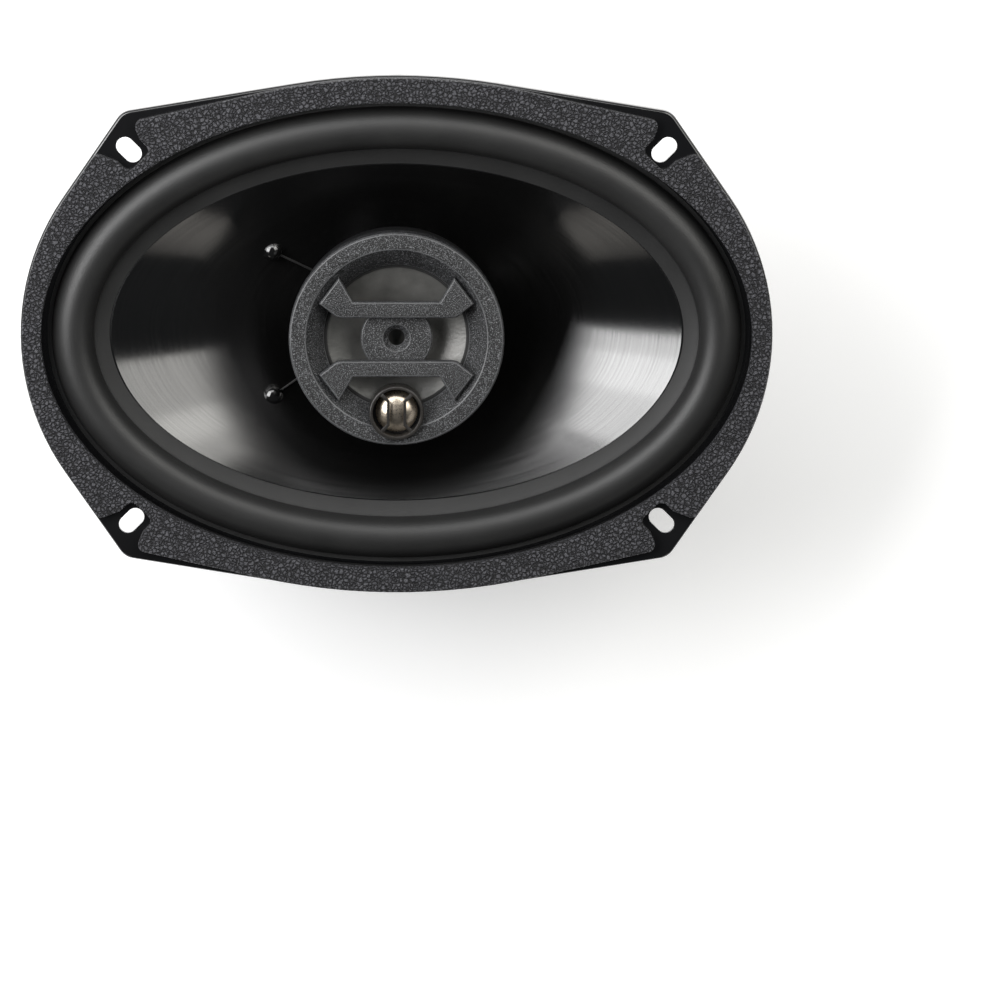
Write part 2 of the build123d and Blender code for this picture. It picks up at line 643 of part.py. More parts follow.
def make_surround():
    """A half roll with flat edges, carried round an ellipse."""
    path = Edge.make_ellipse(*SURROUND_PATH)
    low = CONE_TOP
    high = CONE_TOP + SURROUND_SKIN
    hollow = ROLL_R - SURROUND_SKIN
    x = SURROUND_PATH[0]
    outline = [
        Line((x + SURROUND_INNER, low), (x + SURROUND_INNER, high)),
        Line((x + SURROUND_INNER, high), (x - ROLL_R, high)),
        ThreePointArc((x - ROLL_R, high), (x, high + ROLL_R), (x + ROLL_R, high)),
        Line((x + ROLL_R, high), (x + SURROUND_OUTER, high)),
        Line((x + SURROUND_OUTER, high), (x + SURROUND_OUTER, low)),
        Line((x + SURROUND_OUTER, low), (x + hollow, low)),
        ThreePointArc((x + hollow, low), (x, high + hollow), (x - hollow, low)),
        Line((x - hollow, low), (x + SURROUND_INNER, low)),
    ]
    return sweep(Plane.XZ * make_face(outline), path)


def make_voice_coil_former():
    return ring(FORMER_R[0], FORMER_R[1], *FORMER_Z)


def make_voice_coil():
    return ring(FORMER_R[1] + GLUE_GAP, COIL_R, *COIL_Z)


def make_spider():
    """A corrugated disc with a flat rim that sits on the basket's shelf."""
    inner, outer = SPIDER_R
    base = SHELF_TOP
    steps = 8 * SPIDER_WAVES
    start = inner + SPIDER_LAND
    top = []
    for i in range(steps + 1):
        share = i / steps
        height = 0.5 * SPIDER_WAVE_HEIGHT * (1 - math.cos(2 * math.pi * SPIDER_WAVES * share))
        top.append((start + share * (SPIDER_FLAT_R - start), base + SPIDER_SKIN + height))
    upper = [(inner, base + SPIDER_SKIN)] + top + [(outer, base + SPIDER_SKIN)]
    lower = [(r, z - SPIDER_SKIN) for r, z in reversed(upper)]
    return turned(upper + lower)


def make_glue_beads():
    """A drop of glue over each lead's joint, standing on the cone."""
    x, y = BEAD_AT
    neck = (CONE_NECK_R, CONE_NECK_R)
    lift = CONE_EDGE[1]
    share = lift / (CONE_TOP - CONE_NECK_TOP)
    above = tuple(CONE_NECK_R + (edge - CONE_NECK_R) * (1 + share) for edge in CONE_EDGE)
    space = funnel(above, CONE_TOP + lift, neck, CONE_NECK_TOP)
    beads = []
    for side in (1, -1):
        drop = Pos(x, side * y, cone_height(x, y) - BEAD_SINK) * Sphere(BEAD_R)
        beads.append(drop & space)
    return Compound(children=beads)


def make_coil_wires():
    """The coil's two ends, lying on the cone from the neck out to the glue beads."""
    x, y = BEAD_AT
    full = math.hypot(x, y)
    route = []
    for r in (*COIL_WIRE_RADII, full - COIL_WIRE_IN_BEAD):
        px, py = x * r / full, y * r / full
        route.append((px, py, cone_height(px, py) + COIL_WIRE_LIFT))
    lead = wire(route, COIL_WIRE_BEND, COIL_WIRE_R)
    return Compound(children=[lead, mirror(lead, Plane.XZ)])


# --- Midrange body -------------------------------------------------------------------------
def make_midrange_cone():
    (edge_r, edge), (neck_r, neck) = MID_CONE
    wall = MID_CONE_WALL
    return turned([(neck_r, neck), (edge_r, edge), (edge_r, edge - wall), (neck_r, neck - wall)])


def make_midrange_surround():
    """The thin edge that carries the midrange cone on its frame."""
    edge_r, edge = MID_CONE[0]
    return ring(edge_r - MID_EDGE_LAP, MID_EDGE_R, edge, edge + MID_EDGE)


def make_midrange_dust_cap():
    """A low dome over the midrange's coil."""
    base = MID_CONE[1][1]
    rim = MID_FORMER_R[1] - CAP_WALL / 3
    ball = (rim ** 2 + CAP_RISE ** 2) / (2 * CAP_RISE)
    shell = Pos(0, 0, base + CAP_RISE - ball) * (Sphere(ball) - Sphere(ball - CAP_WALL))
    return shell & Pos(0, 0, base) * extrude(Circle(rim), 2 * CAP_RISE)


def make_midrange_coil():
    former = ring(MID_FORMER_R[0], MID_FORMER_R[1], MID_FORMER_BOTTOM, MID_CONE[1][1])
    return former + ring(MID_FORMER_R[1], MID_COIL_R, MID_FORMER_BOTTOM, MID_COIL_TOP)


# --- Super tweeter body --------------------------------------------------------------------
def make_super_tweeter_dome():
    """A metal dome with a narrow flat edge."""
    rise = TWEETER_DOME_RISE
    radius = TWEETER_DOME_R
    ball = (radius ** 2 + rise ** 2) / (2 * rise)
    inner, outer, thick = TWEETER_DOME_RING
    dome = Pos(0, 0, rise - ball) * (Sphere(ball) - Sphere(ball - TWEETER_DOME_SKIN))
    dome &= extrude(Circle(outer), 2 * rise)
    dome += ring(inner, outer, 0, thick)
    return Pos(0, TWEETER_Y, TWEETER_Z[0] + TWEETER_DOME_BASE) * dome


PARTS = {
    "basket": make_basket,
    "gasket": make_gasket,
    "chassis_rivets": make_chassis_rivets,
    "top_plate": make_top_plate,
    "magnet": make_magnet,
    "t_yoke": make_t_yoke,
    "terminal_board": make_terminal_board,
    "terminal_positive": lambda: make_blade(BLADE_Y, POSITIVE_WIDTH),
    "terminal_negative": lambda: make_blade(-BLADE_Y, NEGATIVE_WIDTH),
    "terminal_rivets": make_terminal_rivets,
    "crossover_capacitor": make_crossover_capacitor,
    "tinsel_leads": make_tinsel_leads,
    "pod_wires": make_pod_wires,
    "pod_post": make_pod_post,
    "pod_housing": make_pod_housing,
    "pod_bezel": make_pod_bezel,
    "bridge_bar_upper": lambda: make_bridge_bar(1),
    "bridge_bar_lower": lambda: make_bridge_bar(-1),
    "pod_hub": make_pod_hub,
    "pod_bolt": make_pod_bolt,
    "pod_nut": make_pod_nut,
    "midrange_frame": make_midrange_frame,
    "midrange_yoke": make_midrange_yoke,
    "midrange_magnet": make_midrange_magnet,
    "midrange_pole_plate": make_midrange_pole_plate,
    "midrange_cone": make_midrange_cone,
    "midrange_surround": make_midrange_surround,
    "midrange_dust_cap": make_midrange_dust_cap,
    "midrange_coil": make_midrange_coil,
    "super_tweeter_housing": make_super_tweeter_housing,
    "super_tweeter_magnet": make_super_tweeter_magnet,
    "super_tweeter_guard": make_super_tweeter_guard,
    "super_tweeter_dome": make_super_tweeter_dome,
    "woofer_cone": make_woofer_cone,
    "surround": make_surround,
    "voice_coil_former": make_voice_coil_former,
    "voice_coil": make_voice_coil,
    "spider": make_spider,
    "glue_beads": make_glue_beads,
    "coil_wires": make_coil_wires,
}


def main():
    os.makedirs("parts", exist_ok=True)
    for name, make in PARTS.items():
        export_step(make(), f"parts/{name}.step")


main()
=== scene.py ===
import json
import math

import bmesh
import bpy
import numpy as np
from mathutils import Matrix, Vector


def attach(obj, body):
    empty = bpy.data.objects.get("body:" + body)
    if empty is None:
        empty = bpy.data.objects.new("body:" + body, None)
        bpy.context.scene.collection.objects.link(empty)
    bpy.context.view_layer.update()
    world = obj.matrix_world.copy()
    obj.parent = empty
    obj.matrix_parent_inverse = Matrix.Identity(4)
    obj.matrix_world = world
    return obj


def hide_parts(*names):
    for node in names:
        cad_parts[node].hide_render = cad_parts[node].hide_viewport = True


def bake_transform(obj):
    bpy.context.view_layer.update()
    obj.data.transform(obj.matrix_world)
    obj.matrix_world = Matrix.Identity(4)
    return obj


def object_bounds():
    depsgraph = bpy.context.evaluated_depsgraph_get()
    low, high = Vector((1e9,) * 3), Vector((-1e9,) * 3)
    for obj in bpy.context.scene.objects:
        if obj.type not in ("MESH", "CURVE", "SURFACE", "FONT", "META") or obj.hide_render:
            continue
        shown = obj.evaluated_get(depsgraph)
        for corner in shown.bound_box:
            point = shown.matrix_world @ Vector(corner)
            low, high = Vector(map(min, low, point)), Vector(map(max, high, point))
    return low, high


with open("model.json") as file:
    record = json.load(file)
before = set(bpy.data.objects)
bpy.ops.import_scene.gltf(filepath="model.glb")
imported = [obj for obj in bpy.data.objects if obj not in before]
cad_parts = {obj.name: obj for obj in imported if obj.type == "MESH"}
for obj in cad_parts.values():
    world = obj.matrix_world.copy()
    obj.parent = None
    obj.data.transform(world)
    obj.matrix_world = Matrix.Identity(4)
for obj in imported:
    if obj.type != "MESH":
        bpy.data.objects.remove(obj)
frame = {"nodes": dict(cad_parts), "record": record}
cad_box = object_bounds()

MM = 0.001
NODES = frame["nodes"]
CHASSIS, WOOFER = "chassis", "woofer_diaphragm"
MIDRANGE, TWEETER = "midrange_diaphragm", "tweeter_diaphragm"

# Shapes that are worked out here, in millimetres, as in the CAD part.
CONE_NECK, CONE_EDGE, CONE_RING = (20.0, 20.0), (89.6, 53.5), (94.8, 58.2)
CONE_BACK_EDGE = (89.7, 53.7)
CONE_NECK_Z, CONE_NECK_BACK_Z, CONE_TOP, CONE_RING_BOTTOM = -34.0, -35.2, -2.0, -3.0
FORMER_R = 19.45                # the cone's neck sits on the coil former
CONE_CREASE = math.radians(20)  # edges sharper than this stay sharp in the light
PATH = (101.6, 65.2)            # the surround's centre line
ROLL_R, SKIN = 6.6, 0.8
SURROUND_INNER, SURROUND_OUTER = 11.35, 8.1
RING_DISH = 0.65                # the surround's inner flat dips this far at its inner edge
RING_BEND = (0.3, 0.06)         # the rounding of that edge: how far in, how far up
RING_FOOT = [(0.9, 0.35), (0.2, 0.6)]   # inner foot of the roll: how far in, how far up
FLANGE_FOOT = [(0.25, 0.06), (0.9, 0.0)]   # outer foot: how far out, how far up
ROLL_STEPS = 33
ROLL_CREASE = math.radians(50)
SPIDER_INNER, SPIDER_START, SPIDER_FLAT, SPIDER_OUTER = 19.45, 20.45, 46.4, 50.0
SPIDER_Z, SPIDER_SKIN, SPIDER_WAVES, SPIDER_WAVE = -38.0, 0.5, 5, 1.0
MID_EDGE = (21.8, 25.2, 3.6, 0.3)   # inner radius, outer radius, bottom, thickness
MID_STILL, MID_CARRIED = 0.3, 0.6   # widths at its two rims that don't bend
FILM_IOR = 1.95                 # a hard, highly reflective film
TWEETER_Y = -23.1
TWEETER_DOME = (6.6, 8.4, 2.6, 0.25)   # radius, base, rise, skin
DOME_POWER = 0.8
# Points round each piece.
CONE_TURN, SPIDER_TURN, MID_TURN, DOME_TURN, LEAD_TURN = 512, 240, 180, 96, 16
LEAD_R = 0.6
TUBE_SIDE = (0.31, 0.95, 0.02)
LEAD_ROUTE = [(-57.0, 7.5, -41.0), (-63.0, 7.5, -35.0), (-60.5, 9.5, -28.0), (-50.0, 16.0, -25.5),
              (-41.4, 22.3, -22.6), (-39.4, 23.3, -21.2)]

# Copies of moulded parts: how near points are welded, in metres, how flat a facet's fold has to
# be to merge, and how sharp an edge has to be to get rounded.
WELD = 2e-6
FLAT_ANGLE, EDGE_ANGLE = math.radians(0.8), math.radians(32)

# --- Camera, light and floor ----------------------------------------------------------------
CAMERA_TILT = math.radians(9.9)
CAMERA_DISTANCE = 2.0
CAMERA_LENS = 227.8
CAMERA_SHIFT = (0.1066, -0.1667)
AIM = Vector((0.0, 0.0, 4.0 * MM))
# Each direction points from the speaker towards a light.
FROM_LEFT, FROM_RIGHT = (-0.696, 0.295, 0.654), (0.696, 0.295, 0.654)
CREAM, WARM = (1.0, 0.99, 0.95), (1.0, 0.95, 0.88)
SKY, SKY_STRENGTH = (0.9, 0.95, 1.0), 0.05
FLOOR_HALF, FLOOR_DROP, FLOOR_GLOW = 3.0, 0.1 * MM, 0.35


def make_camera():
    """Looks down the speaker's axis from a little towards +Y, with +Y up in the picture."""
    data = bpy.data.cameras.new("camera")
    data.lens = CAMERA_LENS
    data.shift_x, data.shift_y = CAMERA_SHIFT
    data.clip_start, data.clip_end = 0.01, 20.0   # metres
    camera = bpy.data.objects.new("camera", data)
    away = Vector((0.0, math.sin(CAMERA_TILT), math.cos(CAMERA_TILT)))
    camera.location = AIM + away * CAMERA_DISTANCE
    camera.rotation_euler = (-CAMERA_TILT, 0.0, 0.0)
    bpy.context.scene.collection.objects.link(camera)
    bpy.context.scene.camera = camera


def softbox(name, toward, distance, size, radiance, tint=(1.0, 1.0, 1.0), slide=(0.0, 0.0)):
    """A rectangular studio light that faces the speaker from one direction.

    Its size, and how far it slides sideways and upwards in its own plane, are in metres. Its
    power is radiance times pi times its area, so that a bigger box isn't a dimmer one."""
    data = bpy.data.lights.new(name, "AREA")
    data.shape = "RECTANGLE"
    data.size, data.size_y = size
    data.energy = radiance * math.pi * size[0] * size[1]
    data.color = tint
    facing = Vector(toward).normalized()
    side = facing.cross(Vector((0.0, 0.0, 1.0))).normalized()
    up = side.cross(facing)
    light = bpy.data.objects.new(name, data)
    light.location = facing * distance + side * slide[0] + up * slide[1]
    light.rotation_mode = "QUATERNION"
    light.rotation_quaternion = (-facing).to_track_quat("-Z", "Y")
    light.visible_camera = False
    bpy.context.scene.collection.objects.link(light)


def make_lights():
    """Two large boxes that the cone mirrors, each with a brighter core, a key, and two low fills."""
    softbox("left_box", FROM_LEFT, 0.85, (0.80, 0.50), 6.8, slide=(0.0, 0.05))
    softbox("right_box", FROM_RIGHT, 0.85, (0.79, 0.50), 3.3, CREAM, (-0.2, 0.05))
    softbox("left_core_wide", FROM_LEFT, 0.84, (0.26, 0.50), 2.0, slide=(-0.08, 0.05))
    softbox("left_core", FROM_LEFT, 0.84, (0.12, 0.50), 2.6, slide=(-0.08, 0.05))
    softbox("right_core", FROM_RIGHT, 0.84, (0.2, 0.50), 2.0, CREAM, (-0.3, 0.05))
    softbox("key", (-0.15, 0.85, 0.75), 1.1, (0.8, 0.4), 4.0)
    softbox("low_right", (0.45, -0.84, 0.31), 0.85, (0.22, 0.16), 1.4, WARM)
    softbox("low_left", (-0.45, -0.84, 0.31), 0.85, (0.26, 0.2), 1.0, WARM)
    world = bpy.data.worlds.new("studio")
    world.use_nodes = True
    background = world.node_tree.nodes["Background"]
    background.inputs["Color"].default_value = (*SKY, 1.0)
    background.inputs["Strength"].default_value = SKY_STRENGTH
    bpy.context.scene.world = world
    bpy.context.scene.view_settings.view_transform = "Standard"


# --- Materials ------------------------------------------------------------------------------
def new_material(name, colour, roughness, metallic=0.0, coat=0.0, specular=0.5):
    """A Principled material; returns it with its tree and shader for the finer nodes."""
    made = bpy.data.materials.new(name)
    made.use_nodes = True
    tree = made.node_tree
    shader = tree.nodes["Principled BSDF"]
    shader.inputs["Base Color"].default_value = (*colour, 1.0)
    shader.inputs["Roughness"].default_value = roughness
    shader.inputs["Metallic"].default_value = metallic
    shader.inputs["Coat Weight"].default_value = coat
    shader.inputs["Specular IOR Level"].default_value = specular
    return made, tree, shader


def node(tree, kind, settings=None, **inputs):
    """Adds a shader node; each input is a value, or a socket to link from.

    An input is called by its name, or by at_ and its number where several share a name."""
    made = tree.nodes.new(kind)
    for key, value in (settings or {}).items():
        setattr(made, key, value)
    for key, value in inputs.items():
        socket = made.inputs[int(key[3:]) if key.startswith("at_") else key.replace("_", " ")]
        if isinstance(value, bpy.types.NodeSocket):
            tree.links.new(value, socket)
        else:
            socket.default_value = value
    return made


def place_of(tree):
    """Object coordinates in millimetres."""
    coords = tree.nodes.new("ShaderNodeTexCoord").outputs["Object"]
    return node(tree, "ShaderNodeMapping", Vector=coords, Scale=[1.0 / MM] * 3).outputs["Vector"]


def along(tree, stretch):
    """The piece's own UV map, stretched."""
    coords = tree.nodes.new("ShaderNodeTexCoord").outputs["UV"]
    return node(tree, "ShaderNodeMapping", Vector=coords, Scale=stretch).outputs["Vector"]


def ramp(tree, source, stops):
    """A colour ramp from (place, grey or colour) stops."""
    made = node(tree, "ShaderNodeValToRGB", Fac=source)
    elements = made.color_ramp.elements
    while len(elements) < len(stops):
        elements.new(0.5)
    for element, (place, colour) in zip(elements, stops):
        element.position = place
        colour = (colour,) * 3 if isinstance(colour, float) else colour
        element.color = (*colour, 1.0)
    return made.outputs["Color"]


def noise(tree, place, scale, detail=3.0, roughness=0.5):
    """Fractal noise from 0 to 1; its scale is in waves per unit of the place."""
    made = node(tree, "ShaderNodeTexNoise", Vector=place, Scale=scale, Detail=detail, Roughness=roughness)
    return made.outputs["Fac"]


def blended(tree, first, second, share):
    """Two maps mixed into one."""
    made = node(tree, "ShaderNodeMix", {"data_type": "FLOAT"}, at_0=share, at_2=first, at_3=second)
    return made.outputs[0]


def raise_by(tree, shader, height, distance, strength=1.0):
    """Raises the surface by a height map, in metres at full strength."""
    made = node(tree, "ShaderNodeBump", Height=height, Distance=distance, Strength=strength)
    tree.links.new(made.outputs["Normal"], shader.inputs["Normal"])


def gloss_paint():
    """Baked black enamel with a faint orange peel and a slight drift in gloss."""
    made, tree, shader = new_material("gloss_paint", (0.005, 0.005, 0.0055), 0.16, coat=0.6)
    place = place_of(tree)
    raise_by(tree, shader, noise(tree, place, 0.5, 2.0), 0.00003, 0.6)
    shine = ramp(tree, noise(tree, place, 0.06, 4.0), [(0.3, 0.12), (0.7, 0.26)])
    tree.links.new(shine, shader.inputs["Roughness"])
    return made


def leather():
    """Embossed leather grain: small pebbles between thin creases that wander, with painted shade darkening
    the creases and a painted highlight lightening the pebble tops.
    """
    made, tree, shader = new_material("leather_grain_painted_shade", (0.03, 0.03, 0.033), 0.5, specular=0.4)
    place = place_of(tree)
    wander = node(tree, "ShaderNodeTexNoise", Vector=place, Scale=0.9, Detail=2.0).outputs["Color"]
    bend = node(tree, "ShaderNodeVectorMath", {"operation": "SCALE"}, at_0=wander, Scale=1.3)
    shifted = node(tree, "ShaderNodeVectorMath", {"operation": "ADD"}, at_0=place, at_1=bend.outputs[0])
    cells = node(tree, "ShaderNodeTexVoronoi", {"feature": "DISTANCE_TO_EDGE"},
                 Vector=shifted.outputs[0], Scale=0.8)
    pebble = ramp(tree, cells.outputs["Distance"], [(0.0, 0.0), (0.1, 0.6), (0.28, 1.0)])
    fine = noise(tree, place, 2.6, 4.0, 0.65)
    height = blended(tree, pebble, fine, 0.4)
    raise_by(tree, shader, height, 0.0011)
    # Painted shade and highlight: the colour follows the grain's height, darker down in the creases and
    # lighter on the pebble tops.
    colour = ramp(tree, height, [(0.2, (0.008, 0.008, 0.0085)), (0.5, (0.028, 0.028, 0.031)),
                                 (0.8, (0.078, 0.078, 0.087))])
    tree.links.new(colour, shader.inputs["Base Color"])
    tree.links.new(ramp(tree, height, [(0.3, 0.6), (0.8, 0.36)]), shader.inputs["Roughness"])
    return made


def grained(name, colours, roughness, grain, depth, metallic=0.0, coat=0.0, specular=0.5):
    """A moulded, cast or drawn finish: fine grain in the surface and a slow drift in its colour."""
    made, tree, shader = new_material(name, colours[0], roughness, metallic, coat, specular)
    place = place_of(tree)
    fine = noise(tree, place, grain, 3.0, 0.6)
    raise_by(tree, shader, fine, depth)
    colour = ramp(tree, noise(tree, place, 0.08, 5.0), [(0.3, colours[0]), (0.7, colours[1])])
    tree.links.new(colour, shader.inputs["Base Color"])
    shine = ramp(tree, fine, [(0.3, roughness - 0.06), (0.7, roughness + 0.08)])
    tree.links.new(shine, shader.inputs["Roughness"])
    return made


def spark_plastic():
    """Spark-eroded moulding: a tight speckle of facets, with light specks in its colour that are painted
    glints.
    """
    made, tree, shader = new_material("spark_plastic", (0.04, 0.04, 0.042), 0.42, specular=0.4)
    place = place_of(tree)
    speck = node(tree, "ShaderNodeTexVoronoi", {"feature": "F1"}, Vector=place, Scale=4.4)
    fine = noise(tree, place, 3.1, 2.0, 0.6)
    raise_by(tree, shader, blended(tree, speck.outputs["Distance"], fine, 0.5), 0.00026)
    # Painted glints: the lightest specks of the colour stand in for facets catching the light.
    colour = ramp(tree, fine, [(0.38, (0.002, 0.002, 0.0022)), (0.54, (0.017, 0.0174, 0.0185)),
                               (0.68, (0.2, 0.204, 0.214))])
    tree.links.new(colour, shader.inputs["Base Color"])
    return made


def brushed_film():
    """Gloss black film, finely brushed round the cone, so that it blurs a light only in and out."""
    made, tree, shader = new_material("cone_film", (0.002, 0.002, 0.002), 0.24)
    shader.inputs["IOR"].default_value = FILM_IOR
    shader.inputs["Anisotropic"].default_value = 0.85
    shader.inputs["Anisotropic Rotation"].default_value = 0.25
    turn = node(tree, "ShaderNodeTangent", {"direction_type": "UV_MAP", "uv_map": "around"})
    tree.links.new(turn.outputs["Tangent"], shader.inputs["Tangent"])
    lines = noise(tree, along(tree, (4.0, 150.0, 1.0)), 1.6, 4.0, 0.7)
    raise_by(tree, shader, lines, 0.000004)
    shine = ramp(tree, lines, [(0.3, 0.16), (0.7, 0.25)])
    tree.links.new(shine, shader.inputs["Roughness"])
    return made


def woven(name, colours, roughness, count, depth, metallic=0.0):
    """Threads that cross over and under each other, counted round and along the piece's UV map."""
    made, tree, shader = new_material(name, colours[0], roughness, metallic)
    place = along(tree, (*count, 1.0))
    waves = []
    for direction in ("X", "Y"):
        settings = {"wave_type": "BANDS", "bands_direction": direction, "wave_profile": "SIN"}
        wave = node(tree, "ShaderNodeTexWave", settings, Vector=place, Scale=1.0, Distortion=0.6)
        waves.append(wave.outputs["Fac"])
    cross = node(tree, "ShaderNodeMath", {"operation": "MULTIPLY"}, at_0=waves[0], at_1=waves[1]).outputs[0]
    raise_by(tree, shader, cross, depth)
    colour = ramp(tree, cross, [(0.0, colours[0]), (0.6, colours[1])])
    tree.links.new(colour, shader.inputs["Base Color"])
    return made


# Each grained finish has its two colours, roughness, grain per millimetre and depth in metres,
# then how metallic it is. Each woven one has its colours, roughness, thread counts and depth.
MATERIALS = {
    "painted_steel": gloss_paint(),
    "leatherette": leather(),
    "pod_plastic": spark_plastic(),
    "cone_film": brushed_film(),
    "zinc_plated_steel": grained("zinc", [(0.36, 0.36, 0.35), (0.45, 0.445, 0.42)], 0.34, 3.0, 0.00001, 1.0),
    "ferrite": grained("ferrite", [(0.014, 0.014, 0.015), (0.024, 0.024, 0.025)], 0.6, 2.0, 0.00006),
    "phenolic": grained("phenolic", [(0.15, 0.07, 0.03), (0.2, 0.1, 0.045)], 0.45, 1.5, 0.00003),
    "tinned_brass": grained("tinned", [(0.46, 0.45, 0.42), (0.54, 0.52, 0.47)], 0.3, 3.0, 0.00001, 1.0),
    "sleeve": grained("sleeve", [(0.01, 0.02, 0.06), (0.014, 0.028, 0.08)], 0.25, 1.0, 0.00001),
    "braid": woven("braid", [(0.32, 0.17, 0.08), (0.72, 0.5, 0.3)], 0.35, (3.0, 60.0), 0.00012, 1.0),
    "wire_insulation": grained("insulation", [(0.03, 0.03, 0.03), (0.045, 0.045, 0.045)], 0.3, 1.5, 0.00002),
    "pod_shell": grained("pod_shell", [(0.008, 0.008, 0.009), (0.014, 0.014, 0.015)], 0.34, 2.4, 0.00003),
    "nickel": grained("nickel", [(0.6, 0.58, 0.54), (0.68, 0.66, 0.62)], 0.2, 3.0, 0.00001, 1.0),
    "midrange_paper": grained("midrange_paper", [(0.06, 0.06, 0.057), (0.14, 0.138, 0.132)],
                              0.36, 0.9, 0.00008, 0.3),
    "surround_rubber": grained("surround_rubber", [(0.012, 0.012, 0.012), (0.016, 0.016, 0.016)],
                               0.44, 2.6, 0.00005),
    "coil_former": grained("former", [(0.7, 0.7, 0.7), (0.75, 0.75, 0.74)], 0.3, 2.0, 0.00001, 1.0),
    "copper": grained("copper", [(0.6, 0.25, 0.12), (0.7, 0.32, 0.16)], 0.3, 4.0, 0.00003, 1.0),
    "spider_cloth": woven("spider_cloth", [(0.22, 0.13, 0.04), (0.5, 0.35, 0.12)], 0.6, (90.0, 24.0), 0.0001),
    "glue": grained("glue", [(0.003, 0.003, 0.003), (0.005, 0.005, 0.005)], 0.1, 0.8, 0.00001, coat=1.0),
    "titanium": grained("titanium", [(0.72, 0.62, 0.5), (0.8, 0.7, 0.57)], 0.3, 1.5, 0.00001, 1.0),
}
TWEETER_TRIM = grained("tweeter_trim", [(0.016, 0.0145, 0.013), (0.026, 0.024, 0.022)],
                       0.3, 3.0, 0.00003, coat=0.2)
# Painted highlight: a lighter finish for rounded edges, standing in for light caught along them.
PAINTED_EDGE_HIGHLIGHT = grained("painted_edge_highlight", [(0.06, 0.061, 0.064), (0.1, 0.102, 0.106)], 0.35, 2.0, 0.00002)


# --- Shapes ---------------------------------------------------------------------------------
def loop(count):
    """Angles evenly round a full turn, as a column."""
    return (np.arange(count) * 2 * np.pi / count)[:, None]


def grid_piece(name, points, finish, closed=(True, True)):
    """A smooth piece from a grid of points (rows, columns, xyz) in millimetres.

    Each cell of the grid is a four-sided face. A closed direction joins its last row or column
    to its first. The UV map runs 0 to 1 along the rows in U and along the columns in V."""
    rows, columns = points.shape[:2]
    row_cells, column_cells = rows - (not closed[0]), columns - (not closed[1])
    i, j = np.indices((row_cells, column_cells)).reshape(2, -1, 1)
    near_far, left_right = np.array([0, 1, 1, 0]), np.array([0, 0, 1, 1])
    faces = (i + near_far) % rows * columns + (j + left_right) % columns
    uv = np.stack([(i + near_far) / row_cells, (j + left_right) / column_cells], axis=-1)
    mesh = bpy.data.meshes.new(name)
    mesh.from_pydata((points.reshape(-1, 3) * MM).tolist(), [], faces.tolist())
    mesh.uv_layers.new(name="around").data.foreach_set("uv", uv.astype(np.float32).ravel())
    shape = bmesh.new()
    shape.from_mesh(mesh)
    bmesh.ops.remove_doubles(shape, verts=shape.verts, dist=1e-7)
    bmesh.ops.recalc_face_normals(shape, faces=shape.faces)
    shape.to_mesh(mesh)
    shape.free()
    mesh.polygons.foreach_set("use_smooth", np.ones(len(mesh.polygons), bool))
    mesh.materials.append(MATERIALS[finish])
    piece = bpy.data.objects.new(name, mesh)
    bpy.context.scene.collection.objects.link(piece)
    return piece


def turned(outline, count):
    """Turns an outline of (radius along X, radius along Y, height) round the speaker's axis.

    At the angle t the point is (first radius times cos t, second radius times sin t, height)."""
    turn = loop(count)
    x, y = np.cos(turn) * outline[:, 0], np.sin(turn) * outline[:, 1]
    return np.stack([x, y, np.broadcast_to(outline[:, 2], x.shape)], axis=-1)


def carried(path, outline, count):
    """Carries an outline of (offset from the path, height) round an ellipse given by its semi-axes.

    The point is the ellipse's point plus the offset times the ellipse's outward normal."""
    turn = loop(count)
    a, b = path
    normal = np.stack([np.cos(turn) / a, np.sin(turn) / b], axis=-1)
    normal /= np.linalg.norm(normal, axis=-1, keepdims=True)
    offset, height = outline.T
    x = a * np.cos(turn) + normal[..., 0] * offset
    y = b * np.sin(turn) + normal[..., 1] * offset
    return np.stack([x, y, np.broadcast_to(height, x.shape)], axis=-1)


def bend_between(piece, distance):
    """Bakes a piece's transform and works out each point's share between two bodies from a distance map: 0
    for the still body, 1 for the moving one.

    Between them the share is 3d^2 - 2d^3, which has no kink at either end. The share is not put to use."""
    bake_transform(piece)
    places = np.empty(len(piece.data.vertices) * 3)
    piece.data.vertices.foreach_get("co", places)
    share = np.clip(distance(places.reshape(-1, 3) / MM), 0, 1)
    share = share * share * (3 - 2 * share)


def oval_offset(places):
    """Nearly how far a point stands outside the surround's path.

    With v the ellipse's value (x/a)^2 + (y/b)^2 and s the length of its slope, it is
    (v - 1) / s times 2 / (1 + sqrt v)."""
    x, y = places[:, 0], places[:, 1]
    value = (x / PATH[0]) ** 2 + (y / PATH[1]) ** 2
    slope = 2 * np.hypot(x / PATH[0] ** 2, y / PATH[1] ** 2)
    return (value - 1) / slope * 2 / (1 + np.sqrt(value))


def radius_of(places):
    """How far a point stands from the speaker's axis."""
    return np.hypot(places[:, 0], places[:, 1])


